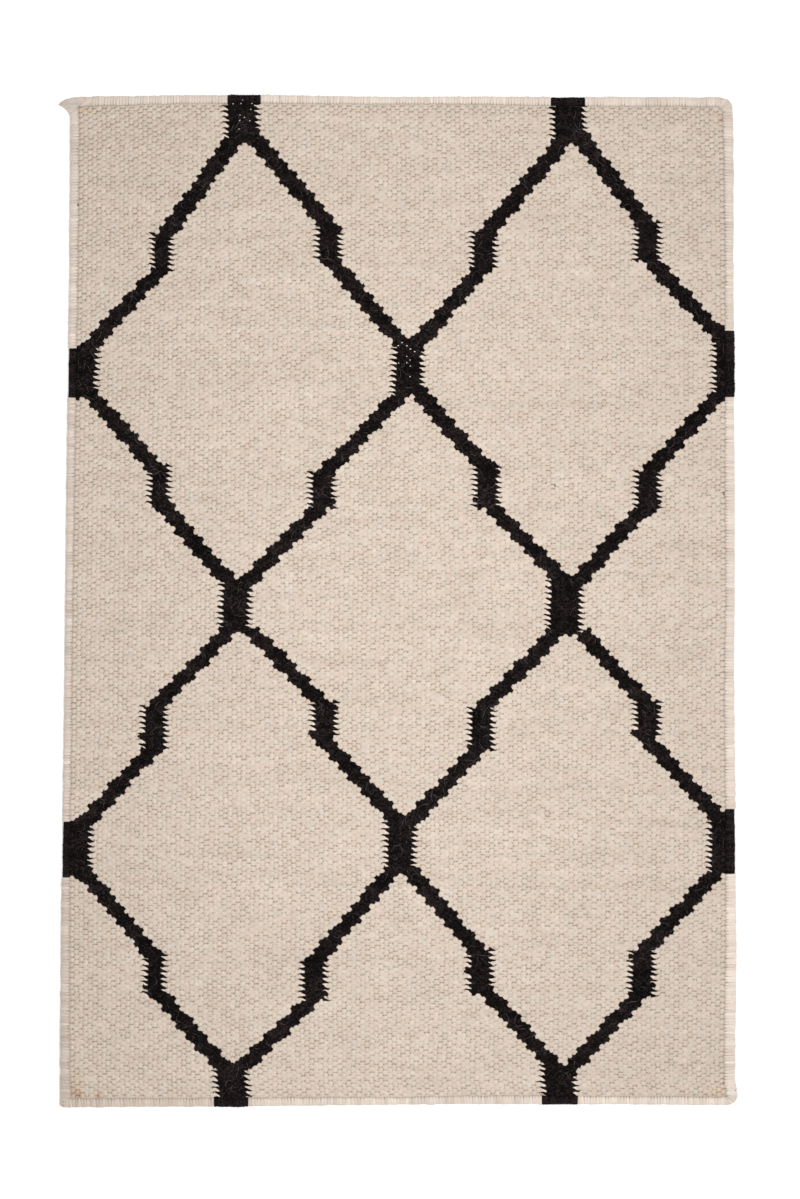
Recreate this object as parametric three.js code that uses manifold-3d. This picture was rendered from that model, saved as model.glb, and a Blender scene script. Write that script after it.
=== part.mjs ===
// Flat-woven wool rug with an overcast rim, lying flat. Millimetres, +Z up, length along Y.
import * as THREE from 'three';
import { LoftGeometry } from 'three/addons/geometries/LoftGeometry.js';
import { mergeVertices } from 'three/addons/utils/BufferGeometryUtils.js';
import Module from 'manifold-3d';

const wasm = await Module();
wasm.setup();

// Driving dimensions
const clothThickness = 4.5;
const rimThickness = 1.8;
const yarnThickness = 1.2;
const bandWidth = 8;
const crownWidth = 3;
const holeDepth = 0.6;
const blackProud = 0.8;
const gap = 0.3;
const reach = 1000;
const cornerSteps = 8;
const crownSteps = 6;

// The overcast yarn wraps the thin rim of the cloth, top, side and bottom
const rimBottom = yarnThickness + gap;
const rimTop = rimBottom + rimThickness;
const wrapTop = rimTop + gap + yarnThickness;

// Long edges: how far up the rug, and where its left and right edges lie there
const longEdges = [
  { up: 400, left: -293.4, right: 299.1 },
  { up: 300, left: -294.2, right: 298.7 },
  { up: 200, left: -295.5, right: 299.0 },
  { up: 100, left: -296.7, right: 299.7 },
  { up: 0, left: -297.7, right: 299.5 },
  { up: -60, left: -298.4, right: 298.9 },
  { up: -120, left: -299.3, right: 299.6 },
  { up: -200, left: -300.5, right: 300.8 },
  { up: -300, left: -301.7, right: 301.2 },
  { up: -400, left: -302.5, right: 300.7 },
];

// Short edges: how far across the rug, and where its top and bottom edges lie there
const shortEdges = [
  { across: -200, top: 450.6, bottom: -451.7 },
  { across: -120, top: 451.1, bottom: -450.8 },
  { across: -60, top: 450.1, bottom: -450.4 },
  { across: 0, top: 449.2, bottom: -449.8 },
  { across: 60, top: 449.6, bottom: -449.2 },
  { across: 120, top: 449.5, bottom: -449.5 },
  { across: 200, top: 449.6, bottom: -449.6 },
];

// Corners, anticlockwise from above: where the two edges would meet, which way the corner points,
// and how round it is at the outline and at the stitch line
const corners = {
  bottomRight: { x: 301.2, y: -450.0, sideways: 1, endways: -1, radius: 7, innerRadius: 0.5 },
  topRight: { x: 298.4, y: 448.8, sideways: 1, endways: 1, radius: 10.5, innerRadius: 4 },
  topLeft: { x: -293.3, y: 449.7, sideways: -1, endways: 1, radius: 13, innerRadius: 1 },
  bottomLeft: { x: -302.6, y: -452.3, sideways: -1, endways: -1, radius: 3, innerRadius: 0.5 },
};

// The stitches of the top left corner are pulled out to a tip, by two curves that meet there
corners.topLeft.pulled = {
  tip: new THREE.Vector2(-303.6, 441.2),
  above: new THREE.Vector2(-297.5, 449.4),
  below: new THREE.Vector2(-293.6, 439.6),
};

// Where the black bars of the pattern reach an edge: the run's name, its side, and its two ends along it
const blackRuns = [
  { name: 'top_left', side: 'top', from: -151.6, to: -121.3 },
  { name: 'top_right', side: 'top', from: 136.4, to: 166.7 },
  { name: 'right_upper', side: 'right', from: 185.5, to: 239.0 },
  { name: 'right_lower', side: 'right', from: -240.7, to: -188.1 },
  { name: 'bottom_right', side: 'bottom', from: 129.3, to: 160.5 },
  { name: 'bottom_left', side: 'bottom', from: -164.1, to: -133.7 },
  { name: 'left_lower', side: 'left', from: -246.1, to: -196.2 },
  { name: 'left_upper', side: 'left', from: 178.3, to: 227.4 },
];

// One corner of a contour, from the side before it to the side after it
function cornerPoints(corner, inset) {
  const share = Math.min(Math.max(inset / bandWidth, 0), 1);
  const radius = THREE.MathUtils.lerp(corner.radius, corner.innerRadius, share);
  const centreX = corner.x - corner.sideways * (inset + radius);
  const centreY = corner.y - corner.endways * (inset + radius);
  const diagonal = Math.atan2(corner.endways, corner.sideways);
  const points = [];
  for (let step = 0; step <= cornerSteps; step += 1) {
    const angle = diagonal + (step / cornerSteps - 0.5) * (Math.PI / 2);
    points.push(new THREE.Vector2(centreX + radius * Math.cos(angle), centreY + radius * Math.sin(angle)));
  }
  return points;
}

// The same corner where its stitches are pulled out: only the outer skin of the yarn follows the tip
function pulledPoints(corner, inset) {
  const points = cornerPoints(corner, inset);
  const { tip, above, below } = corner.pulled;
  const start = points[0];
  const end = points[cornerSteps];
  const upper = new THREE.QuadraticBezierCurve(start, above, tip).getPoints(cornerSteps / 2);
  const lower = new THREE.QuadraticBezierCurve(tip, below, end).getPoints(cornerSteps / 2);
  const skin = upper.concat(lower.slice(1));
  const pull = Math.max(1 - inset / yarnThickness, 0);
  return points.map((point, step) => point.lerp(skin[step], pull));
}

// The points of one side strictly between its two corners, smoothed through its table
function sidePoints(before, table, after) {
  const route = [before, ...table, after];
  const points = new THREE.SplineCurve(route).getPoints(2 * (route.length - 1));
  return points.slice(1, -1);
}

// The whole outline moved in by the inset, anticlockwise from above, as many points at every inset
function contour(inset) {
  const bottomRight = cornerPoints(corners.bottomRight, inset);
  const topRight = cornerPoints(corners.topRight, inset);
  const topLeft = pulledPoints(corners.topLeft, inset);
  const bottomLeft = cornerPoints(corners.bottomLeft, inset);
  const upward = [...longEdges].reverse();
  const leftward = [...shortEdges].reverse();
  const right = upward.map((row) => new THREE.Vector2(row.right - inset, row.up));
  const top = leftward.map((row) => new THREE.Vector2(row.across, row.top - inset));
  const left = longEdges.map((row) => new THREE.Vector2(row.left + inset, row.up));
  const bottom = shortEdges.map((row) => new THREE.Vector2(row.across, row.bottom + inset));
  return [
    ...bottomRight,
    ...sidePoints(bottomRight.at(-1), right, topRight[0]),
    ...topRight,
    ...sidePoints(topRight.at(-1), top, topLeft[0]),
    ...topLeft,
    ...sidePoints(topLeft.at(-1), left, bottomLeft[0]),
    ...bottomLeft,
    ...sidePoints(bottomLeft.at(-1), bottom, bottomRight[0]),
  ];
}

// A body whose skin passes through one contour of the rug for each row of a profile
function loftBody(profile, capped) {
  const sections = profile.map((row) => {
    return contour(row.inset).map((point) => new THREE.Vector3(point.x, point.y, row.height));
  });
  const loft = new LoftGeometry(sections, { capStart: capped, capEnd: capped });
  const geometry = new THREE.BufferGeometry();
  geometry.setAttribute('position', loft.getAttribute('position'));
  geometry.setIndex(loft.index);
  return mergeVertices(geometry);
}

// The cloth: full thickness inside the stitch line, and a thin rim under the overcasting
function clothGeometry() {
  const field = bandWidth + gap;
  const rim = yarnThickness + gap;
  return loftBody([
    { inset: field, height: 0 },
    { inset: field, height: rimBottom },
    { inset: rim, height: rimBottom },
    { inset: rim, height: rimTop },
    { inset: field, height: rimTop },
    { inset: field, height: clothThickness },
  ], true);
}

// The overcasting all the way round: a rounded crown outside and a slot for the rim inside
function overcastGeometry(proud) {
  const slotTop = wrapTop - yarnThickness;
  const profile = [{ inset: bandWidth, height: 0 }];
  for (let step = 0; step <= crownSteps; step += 1) {
    const angle = (step / crownSteps - 0.5) * Math.PI;
    profile.push({
      inset: crownWidth - (crownWidth + proud) * Math.cos(angle),
      height: (wrapTop / 2) * (1 + Math.sin(angle)),
    });
  }
  profile.push(
    { inset: bandWidth, height: wrapTop - holeDepth },
    { inset: bandWidth, height: slotTop },
    { inset: yarnThickness, height: slotTop },
    { inset: yarnThickness, height: yarnThickness },
    { inset: bandWidth, height: yarnThickness },
    { inset: bandWidth, height: 0 },
  );
  return loftBody(profile, false);
}

function toSolid(geometry) {
  return new wasm.Manifold(new wasm.Mesh({
    numProp: 3,
    vertProperties: new Float32Array(geometry.getAttribute('position').array),
    triVerts: new Uint32Array(geometry.index.array),
  }));
}

function toGeometry(solid) {
  const mesh = solid.getMesh();
  const geometry = new THREE.BufferGeometry();
  geometry.setAttribute('position', new THREE.BufferAttribute(mesh.vertProperties, 3));
  geometry.setIndex(new THREE.BufferAttribute(mesh.triVerts, 1));
  geometry.computeVertexNormals();
  return geometry;
}

// A tall box between two places across the rug and two up it, to cut one run out of the overcasting
function cutter(left, right, low, high) {
  const box = new THREE.BoxGeometry(right - left, high - low, reach);
  box.translate((left + right) / 2, (low + high) / 2, 0);
  box.deleteAttribute('normal');
  box.deleteAttribute('uv');
  return toSolid(mergeVertices(box));
}

// The box over a straight stretch of one side
function sideCutter(side, from, to) {
  const boxes = {
    top: () => cutter(from, to, 0, reach),
    right: () => cutter(0, reach, from, to),
    bottom: () => cutter(from, to, -reach, 0),
    left: () => cutter(-reach, 0, from, to),
  };
  return boxes[side]();
}

const creamCloth = new THREE.MeshStandardMaterial({ color: 0xd9cabb, roughness: 0.95, metalness: 0 });
const creamYarn = new THREE.MeshStandardMaterial({ color: 0xdfd1c4, roughness: 0.95, metalness: 0 });
const blackYarn = new THREE.MeshStandardMaterial({ color: 0x1c1616, roughness: 0.95, metalness: 0 });

function piece(name, geometry, material) {
  const mesh = new THREE.Mesh(geometry, material);
  mesh.name = name;
  return mesh;
}

const rug = new THREE.Group();
rug.add(piece('woven_panel', clothGeometry(), creamCloth));

// Black runs, at their full length
const blackWrap = toSolid(overcastGeometry(blackProud));
for (const run of blackRuns) {
  const solid = blackWrap.intersect(sideCutter(run.side, run.from, run.to));
  rug.add(piece(`edge_black_${run.name}`, toGeometry(solid), blackYarn));
}

// Cream runs between the two black runs of each side, cut short so that they stay clear of them
const creamWrap = toSolid(overcastGeometry(0));
const ends = {};
for (const side of ['top', 'right', 'bottom', 'left']) {
  const runs = blackRuns.filter((run) => run.side === side).sort((one, other) => one.from - other.from);
  const [low, high] = runs;
  const solid = creamWrap.intersect(sideCutter(side, low.to + gap, high.from - gap));
  rug.add(piece(`edge_cream_${side}`, toGeometry(solid), creamYarn));
  ends[side] = { low: low.from - gap, high: high.to + gap };
}

// Cream runs round the corners, each out to the black run nearest to it on either side
const cornerRuns = [
  { name: 'bottom_right', box: [ends.bottom.high, reach, -reach, ends.right.low] },
  { name: 'top_right', box: [ends.top.high, reach, ends.right.high, reach] },
  { name: 'top_left', box: [-reach, ends.top.low, ends.left.high, reach] },
  { name: 'bottom_left', box: [-reach, ends.bottom.low, -reach, ends.left.low] },
];
for (const run of cornerRuns) {
  const solid = creamWrap.intersect(cutter(...run.box));
  rug.add(piece(`edge_cream_corner_${run.name}`, toGeometry(solid), creamYarn));
}

// The origin is the middle of the rug's box, on the surface that it lies on
const middle = new THREE.Box3().setFromObject(rug).getCenter(new THREE.Vector3());
rug.position.set(-middle.x, -middle.y, 0);

export default rug;
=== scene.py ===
"""A flat-woven wool rug, cream with a black trellis, its rim overcast in the same two wools, lying flat.

Sizes are millimetres in the rug's own drawing, X across it and Y along it, and become metres in
new_piece. The floor and the lamps are in metres.
"""
import math

import bpy
import numpy as np
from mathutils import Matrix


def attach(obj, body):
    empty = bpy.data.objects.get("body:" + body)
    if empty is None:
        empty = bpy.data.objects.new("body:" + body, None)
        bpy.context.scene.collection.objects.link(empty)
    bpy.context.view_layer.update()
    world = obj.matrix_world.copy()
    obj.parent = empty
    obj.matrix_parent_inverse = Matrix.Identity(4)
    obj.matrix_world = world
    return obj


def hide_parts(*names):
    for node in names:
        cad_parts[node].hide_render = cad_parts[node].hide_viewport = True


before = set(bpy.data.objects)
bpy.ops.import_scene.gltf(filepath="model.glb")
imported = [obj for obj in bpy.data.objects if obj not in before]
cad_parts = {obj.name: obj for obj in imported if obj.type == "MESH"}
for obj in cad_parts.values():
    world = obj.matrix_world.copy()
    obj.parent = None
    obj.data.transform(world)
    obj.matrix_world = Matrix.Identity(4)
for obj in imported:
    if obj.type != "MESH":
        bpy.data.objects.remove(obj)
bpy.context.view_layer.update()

MM = 0.001

# The middle of the rug's box in its drawing, which is where the frame has its origin
BOX_MIDDLE = np.array([-0.872, -0.202, 0.0])

# Seeds of the random draws
SEEDS = dict(
    sway=(11, 12), ripple=(13, 14), long_bands=15, short_bands=17, face=21, back=22, hairs=31,
    black_runs=100, cream_runs=200, cream_corners=300,
)

# Weave: warps across the rug and weft bumps along each warp, the pitch of both, the cloth's thickness,
# and how far the bumps stand out on the face and on the back
WARPS = 142
ROWS = 183
WARP_PITCH = 4.11
BUMP_PITCH = 4.83
CLOTH = 4.5
RELIEF = 1.5
BACK_RELIEF = 0.9

# How many strips the cloth is cut into, only to keep each mesh light
STRIPS = 5

# A first guess at the cloth's width, from which each warp's place is found
FIRST_WIDTH = 580.0

# Waves of the warps and rows: of how many sines, how high the long ones are across and along the rug, how
# high the short ones, the wavelengths of both, and how steeply they fade towards the rim
SINES = 7
SWAY = (0.55, 1.1)
RIPPLE = 0.28
SWAY_LENGTHS = ((60.0, 240.0), (70.0, 260.0))
RIPPLE_LENGTHS = (9.0, 40.0)
FADE = (12, 20)

# A bump of the face: heights as shares of the relief. The dash between two bumps of one warp and the
# pits at its ends lie the higher the more the two bumps have shut: least, and what is added. Next to the
# rim they have shut less.
SHOULDER = 0.92
SADDLE = 0.62
DASH = (0.22, 0.38)
PIT = (0.06, 0.42)
RIM_SHUT = 0.3
HIGHEST = 1.1

# How far crowns press the lines beside them outwards, in warps
ZIGZAG = 0.2

# The back's dash and the valley between two warps, as shares of its relief
BACK_DASH = 0.4
BACK_VALLEY = 0.45

# Unevenness of a bump's place, of a dash's bend and of each grid point, in bumps, and of heights, as
# shares of the relief
BUMP_NUDGE = 0.05
DASH_BEND = 0.1
POINT_NUDGE = 0.08
BUMP_GAIN = 0.05
POINT_ROUGH = 0.12
PIT_ROUGH = 0.2

# How light a bump is: its own share of that, its weft's share, and how many warps the weft's drifts over
OWN_TONE = 0.8
WEFT_TONE = 0.6
DRIFT_LENGTH = 24

# Teeth, where both wools share a warp beside an upright, in bumps: half the black wedge's height at its
# root on the right and on the left of the upright, and at its tip, how far it falls to the right, and how
# far across the warp lines the wedge's tip and the cream lumps between two wedges reach
TOOTH_ROOT = (0.46, 0.37)
TOOTH_TIP = 0.09
TOOTH_FALL = 0.3
TIP_REACH = 0.5
LUMP_REACH = 0.28

# A tooth in four steps from the lump's middle over the wedge's: heights inside it, at the wedge's tip and
# at its root, and its shares of both reaches
TOOTH_HEIGHTS = np.array([0.86, 0.45, 0.8, 0.45])
TIP_HEIGHTS = np.array([0.75, 0.5, 0.45, 0.5])
ROOT_HEIGHTS = np.array([0.45, 0.4, 0.6, 0.4])
TIP_SHAPE = np.array([0.0, 0.4, 1.0, 0.4])
LUMP_SHAPE = np.array([1.0, 0.3, 0.0, 0.3])

# Slips on the left of an upright, where the cream lump between two teeth is missing and the bump beyond
# is partly black: the middles of the lumps
SLIPS = ((-228.0, -121.0), (-76.0, -119.1), (211.2, -119.5), (63.7, -332.4))

# Grid steps for one bump: across and along it, and which along it are black in a tooth, face and back
FACE_ACROSS = 3
FACE_ALONG = 4
FACE_BLACK = (1, 2)
BACK_ACROSS = 2
BACK_ALONG = 2
BACK_BLACK = (0,)

# How far the cloth's outermost lines reach under the overcasting, in warps and in bumps, and their
# heights on the face and on the back, as shares of the relief
TUCK = (0.3, 0.25)
FACE_TUCK = -0.15
BACK_TUCK = -0.5

# Painted shade in the pits, by height as shares of the relief: where the wool has its full colour, below
# which it is painted darker towards its pit colour, what the line under the overcasting counts as, and
# how much lower tan wool counts
PIT_SHADE = 0.8
EDGE_SHADE = 0.12
TAN_SINK = 0.1

# Where cream lumps show between two black wedges they are drawn tight and stand high, and a painted
# highlight makes them lighter: by how much
TOOTH_HIGHLIGHT = 8.0

# Loose hairs, drawn thicker than the real 0.05 mm so that they show: how many, how long, their radius and
# its share at their ends, how far they turn and rise, the field they stay in, and a hair's steps
HAIRS = 700
HAIR_LENGTH = (2.5, 13.0)
HAIR_RADIUS = 0.1
HAIR_END = 0.25
HAIR_TURN = 1.6
HAIR_RISE = 0.4
HAIR_FIELD = ((-285.0, -440.0), (290.0, 440.0))
HAIR_STEPS = 4

# Overcasting, as in the solids: a thin rim of cloth, wrapped top, side and bottom. The band's usual
# width, the crown's depth and height, the yarn's thickness, the gap between runs, and a stitch's length
# and height
BAND = 8.0
CROWN = 3.0
WRAP_TOP = 4.8
YARN = 1.2
RUN_GAP = 0.3
STITCH = 2.7
STITCH_RIDGE = 0.6

# Waves of the band's width and of its skin: their heights and wavelengths
BAND_WAVE = 0.3
BAND_LENGTHS = (8.0, 50.0)
SKIN_WAVE = 0.25
SKIN_LENGTHS = (5.0, 40.0)

# The steps of a stitch from the valley before it: how much of its height is missing there. Then how much
# stitches differ in length, in height, in lightness and in the painted shade between them
STITCH_FALL = np.array([1.0, 0.13, 0.0, 0.13])
STITCH_STEPS = len(STITCH_FALL)
STITCH_WOBBLE = 0.09
STITCH_LIFT = 0.12
STITCH_TONE = 0.9
STITCH_DIP = (0.15, 1.0)

# Long edges: how far up the rug, where its left and right edges lie there, and how wide the
# overcasting on the left and on the right is there
LONG_EDGES = np.array([
    (450.0, -292.9, 298.9, 8.2, 10.0),
    (400.0, -292.9, 299.7, 8.2, 9.3),
    (300.0, -293.5, 299.6, 7.8, 7.9),
    (200.0, -294.9, 299.8, 7.5, 8.0),
    (100.0, -296.1, 300.7, 7.2, 9.2),
    (0.0, -297.2, 300.8, 6.8, 8.6),
    (-60.0, -297.7, 300.0, 6.5, 9.0),
    (-120.0, -298.5, 300.8, 7.0, 9.6),
    (-200.0, -299.7, 301.8, 6.8, 9.7),
    (-300.0, -301.0, 302.2, 7.9, 10.0),
    (-400.0, -301.9, 301.4, 8.8, 10.8),
    (-429.0, -302.0, 301.4, 9.4, 10.6),
    (-437.0, -302.1, 303.2, 9.5, 10.9),
    (-450.0, -302.1, 303.4, 9.8, 10.7),
])

# Short edges: how far across the rug, where its top and bottom edges lie there, and how wide the
# overcasting at the top and at the bottom is there
SHORT_EDGES = np.array([
    (-295.0, 449.5, -453.0, 9.8, 8.4),
    (-200.0, 450.6, -452.5, 7.8, 8.2),
    (-120.0, 451.1, -452.0, 7.8, 7.7),
    (-60.0, 450.1, -451.3, 7.5, 7.7),
    (0.0, 449.2, -450.7, 6.8, 7.2),
    (60.0, 449.5, -450.1, 7.0, 7.6),
    (120.0, 449.5, -450.4, 8.4, 8.2),
    (200.0, 449.4, -450.4, 8.9, 7.4),
    (300.0, 448.6, -451.0, 8.6, 7.5),
])

# Corners: where the two edges would meet, which way the corner points, and how round it is at the
# outline and at the stitch line
CORNERS = {
    "bottom_right": dict(x=303.4, y=-451.0, sideways=1, endways=-1, radius=10.0, inner=0.5),
    "top_right": dict(x=298.9, y=448.6, sideways=1, endways=1, radius=10.5, inner=5.0),
    "top_left": dict(x=-292.9, y=449.5, sideways=-1, endways=1, radius=20.0, inner=1.0),
    "bottom_left": dict(x=-302.1, y=-453.0, sideways=-1, endways=-1, radius=3.0, inner=0.5),
}

# The top left corner's stitches are pulled out to a tip: the tip, what bends the curve on either side of
# it, and how strong the pull is at half height, where 1 is all of it
PULLED_TIP = (-303.3, 441.6)
PULLED_ABOVE = (-296.5, 450.4)
PULLED_BELOW = (-294.4, 438.2)
PULL = 1.25

# Black overcasting where the trellis reaches the rim: its side, its two ends along that side, and how
# far it stands out past the cream beside it
BLACK_RUNS = {
    "top_left": ("top", -152.0, -122.6, 0.0),
    "top_right": ("top", 136.4, 166.7, -0.7),
    "right_upper": ("right", 181.2, 240.0, 0.9),
    "right_lower": ("right", -244.0, -186.6, -1.0),
    "bottom_right": ("bottom", 128.4, 160.2, 0.0),
    "bottom_left": ("bottom", -164.1, -133.7, 0.4),
    "left_lower": ("left", -247.2, -198.0, -0.9),
    "left_upper": ("left", 180.8, 224.2, -1.1),
}

# How much lighter or darker than the rest the cream yarn is painted in each of its runs: partly the
# yarn's own tone, partly painted shade, with the runs on the left, which face away from the light, darker
CREAM_TONES_AND_SHADE = {
    "top": 0.4, "right": 0.1, "bottom": -0.5, "left": -1.4,
    "bottom_right": 1.2, "top_right": 0.0, "top_left": -0.4, "bottom_left": -2.6,
}

# The trellis, charted. Upright bars and the short steps half way down each diagonal: the middle
# of the solid core, how many warps wide it is, its top and its bottom. The bars at the rim run off it.
RIM = 460.0
UPRIGHTS = (
    (-139.3, 6, RIM, 407.5), (152.0, 6, RIM, 407.5),
    (-289.0, 9, 225.0, 180.5), (7.6, 5, 229.0, 181.0),
    (299.5, 8, 239.0, 185.5), (-144.4, 5, 19.0, -29.5),
    (148.5, 6, 20.0, -31.5), (-293.5, 8, -198.0, -247.0),
    (1.5, 5, -193.0, -245.5), (297.5, 8, -187.0, -243.0),
    (-146.4, 6, -416.0, -RIM), (144.9, 6, -413.5, -RIM),
    (-212.2, 3, 327.5, 292.5), (-62.2, 4, 335.3, 302.3),
    (78.0, 4, 330.8, 297.0), (222.0, 4, 338.8, 303.2),
    (-214.5, 3, 120.4, 82.0), (-67.8, 4, 115.9, 81.0),
    (78.5, 4, 122.6, 82.0), (221.5, 4, 116.4, 79.4),
    (-217.8, 4, -94.5, -135.5), (-67.5, 4, -90.0, -123.0),
    (74.0, 4, -95.4, -135.5), (221.5, 4, -90.5, -123.0),
    (-219.0, 3, -314.0, -354.0), (-73.8, 4, -320.0, -356.7),
    (74.0, 4, -310.3, -352.2), (219.3, 4, -313.0, -353.0),
)

# Diagonals: how wide they are, how far they run on past both ends as a share of their length, and where
# the middle of each starts at its upper end and arrives at its lower end
DIAGONAL_WIDTH = 18.2
DIAGONAL_OVERRUN = 0.03
DIAGONALS = (
    (-145.4, 412.4, -206.4, 326.6), (-133.8, 418.6, -61.2, 333.3),
    (154.7, 418.6, 78.3, 325.5), (158.4, 418.2, 223.4, 332.4),
    (-212.4, 294.1, -276.4, 225.1), (-58.2, 301.4, 6.3, 225.6),
    (77.6, 299.6, 13.5, 222.9), (225.2, 303.2, 295.7, 226.2),
    (-275.2, 185.5, -213.9, 114.1), (5.6, 186.4, -64.9, 113.2),
    (13.5, 191.0, 78.9, 115.9), (290.8, 188.1, 223.7, 114.1),
    (-212.1, 87.4, -151.3, 16.5), (-65.6, 86.5, -135.3, 15.6),
    (78.6, 87.4, 147.8, 16.9), (223.7, 86.5, 157.9, 14.3),
    (-150.6, -26.7, -217.8, -97.2), (-131.3, -26.7, -65.4, -94.5),
    (141.6, -28.5, 74.9, -97.6), (163.7, -28.5, 224.0, -95.4),
    (-218.6, -132.0, -282.4, -202.0), (-66.3, -123.9, 0.8, -198.4),
    (71.6, -132.0, 11.7, -198.4), (223.5, -125.7, 289.6, -197.5),
    (-284.5, -237.6, -217.2, -317.9), (-3.1, -239.0, -73.1, -321.4),
    (5.6, -235.4, 73.7, -316.5), (287.2, -239.0, 216.6, -316.5),
    (-216.6, -347.3, -150.7, -422.6), (-70.8, -351.6, -144.9, -422.6),
    (77.5, -347.3, 143.1, -420.4), (221.6, -344.6, 151.1, -421.8),
)

# Ends of the cotton warps, where they show as whitish specks in the black: how much of their length is
# free, their width and turn in degrees, then x, y and length of each
SPECK_SHARE = 0.8
SPECK_WIDTH = 0.9
SPECK_TURN = 15.0
WARP_SPECKS = (
    (3.6, 229.6, 1.9), (0.3, 226.8, 1.9), (7.9, 226.7, 1.9), (11.1, 223.8, 1.9), (14.8, 221.6, 1.9),
    (0.6, 211.3, 1.2), (7.8, 211.6, 1.3), (10.7, 214.0, 1.2), (11.0, 208.6, 1.2), (7.8, 217.2, 1.2),
    (10.7, 199.2, 1.2), (-147.1, 442.5, 1.3), (-140.0, 442.8, 1.3), (-130.2, 442.7, 1.3),
    (-138.5, 446.0, 1.2), (-140.9, 432.5, 1.2), (-141.2, 427.6, 1.7), (-136.9, 430.4, 1.3),
    (-132.2, 427.4, 1.3), (-131.3, 437.5, 1.2), (-141.8, 420.0, 1.2),
)

# Stray bits caught in the cloth: how many sides they have, then x, y, length, width and turn in degrees
BIT_SIDES = 8
DARK_FLECKS = (
    (290.3, 95.6, 2.2, 0.8, 35.0), (290.4, 94.0, 2.2, 0.8, -35.0),
    (132.0, 104.3, 1.7, 0.8, 20.0), (140.0, 102.5, 1.5, 0.8, -30.0),
    (-285.3, 352.2, 2.0, 1.2, 80.0), (290.1, -430.3, 2.0, 0.5, 70.0),
)
RIM_FLECK = ((301.0, -437.2, 1.5, 0.9, 70.0),)
STRAW_BITS = (
    (-79.4, 327.2, 1.9, 1.3, 10.0), (-79.2, 321.0, 2.1, 1.4, -15.0),
    (-79.6, 315.6, 1.8, 1.3, 20.0), (-79.3, 310.3, 2.2, 1.4, 0.0),
)

# Where other yarn was tied in at the corners: x, y, how far it reaches, and its colour, from 0 for the
# cloth's own over 0.5 for tan to 1 for rust
TAN_PATCHES = (
    (-284.0, 439.5, 5.0, 0.5), (-277.0, 438.5, 5.0, 0.4), (-288.0, 434.0, 4.0, 0.5),
    (279.0, -440.0, 5.0, 0.5), (289.0, -439.0, 6.0, 0.5), (288.4, 428.2, 3.5, 1.0),
    (-289.0, -438.5, 5.5, 1.0), (-284.0, -443.0, 4.0, 0.8), (-267.5, -442.5, 4.0, 0.9),
    (-289.0, -427.0, 5.0, 0.4),
)


def srgb(code):
    """A hex colour as the linear red, green, blue and alpha that a shader takes."""
    parts = [int(code[i:i + 2], 16) / 255 for i in (1, 3, 5)]
    linear = [p / 12.92 if p <= 0.04045 else ((p + 0.055) / 1.055) ** 2.4 for p in parts]
    return (*linear, 1.0)


# Meshes


def tan_share(points):
    """How tan or rusty the wool is at each point: a patch's colour in its middle, in a bell curve."""
    share = np.zeros(len(points))
    for x, y, reach, colour in TAN_PATCHES:
        share += colour * np.exp(-((points[:, 0] - x) ** 2 + (points[:, 1] - y) ** 2) / reach ** 2)
    return np.clip(share, 0, 1)


def new_object(name, data):
    """An object in the scene that shows this data."""
    made = bpy.data.objects.new(name, data)
    bpy.context.scene.collection.objects.link(made)
    return made


def new_piece(name, points, groups, materials, slots=None, uv=None, **looks):
    """Makes a mesh piece from points in the rug's drawing and faces in groups of one corner count each.

    slots is the material of each face, and uv the pattern coordinates of each point. looks are tone, how
    light each face is, depth, how far each point is out of the pits, from 0 to 1, which the wool turns
    into painted shade, and tan, how tan it is.
    """
    corners = np.concatenate([group.ravel() for group in groups])
    counts = np.concatenate([np.full(len(group), group.shape[1]) for group in groups])
    mesh = bpy.data.meshes.new(name)
    mesh.vertices.add(len(points))
    mesh.vertices.foreach_set("co", ((points - BOX_MIDDLE) * MM).astype(np.float32).ravel())
    mesh.loops.add(len(corners))
    mesh.loops.foreach_set("vertex_index", corners.astype(np.int32))
    mesh.polygons.add(len(counts))
    mesh.polygons.foreach_set("loop_start", (np.cumsum(counts) - counts).astype(np.int32))
    for material in materials:
        mesh.materials.append(material)
    if slots is not None:
        mesh.polygons.foreach_set("material_index", slots.astype(np.int32))
    if uv is not None:
        layer = mesh.uv_layers.new(name="yarn")
        layer.uv.foreach_set("vector", uv[corners].astype(np.float32).ravel())
    for key, numbers in looks.items():
        attribute = mesh.attributes.new(key, "FLOAT", "FACE" if key == "tone" else "POINT")
        attribute.data.foreach_set("value", numbers.astype(np.float32))
    mesh.update(calc_edges=True)
    piece = new_object(name, mesh)
    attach(piece, "root")
    return piece


def grid_normals(points):
    """Unit normals of a grid of points, seen from above: its slope across times its slope along it."""
    normals = np.cross(np.gradient(points, axis=1), np.gradient(points, axis=0))
    return normals / np.linalg.norm(normals, axis=-1, keepdims=True)


def shade_smooth(piece, normals):
    """Shades a mesh's first faces by the normals of their corners, and the rest of them flat.

    Strips of one cloth shade as one surface where they meet, because their normals come from the whole.
    """
    mesh = piece.data
    flat = np.empty(3 * len(mesh.polygons), np.float32)
    counts = np.empty(len(mesh.polygons), np.int32)
    mesh.polygons.foreach_get("normal", flat)
    mesh.polygons.foreach_get("loop_total", counts)
    shading = flat.reshape(-1, 3).repeat(counts, axis=0)
    shading[:len(normals)] = normals
    mesh.normals_split_custom_set(shading)


def crease(piece, is_sharp):
    """Marks the edges for which is_sharp, given their two ends' numbers, says True."""
    mesh = piece.data
    ends = np.empty(2 * len(mesh.edges), np.int32)
    mesh.edges.foreach_get("vertices", ends)
    low, high = np.sort(ends.reshape(-1, 2), axis=1).T
    attribute = mesh.attributes.new("sharp_edge", "BOOLEAN", "EDGE")
    attribute.data.foreach_set("value", is_sharp(low, high))


def numbered(rows, columns, first=0):
    """The numbers of a grid's points, row by row."""
    return first + np.arange(rows * columns).reshape(rows, columns)


def closed(rings):
    """Rings of point numbers, each with its first point once more at its end."""
    return np.hstack([rings, rings[:, :1]])


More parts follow.
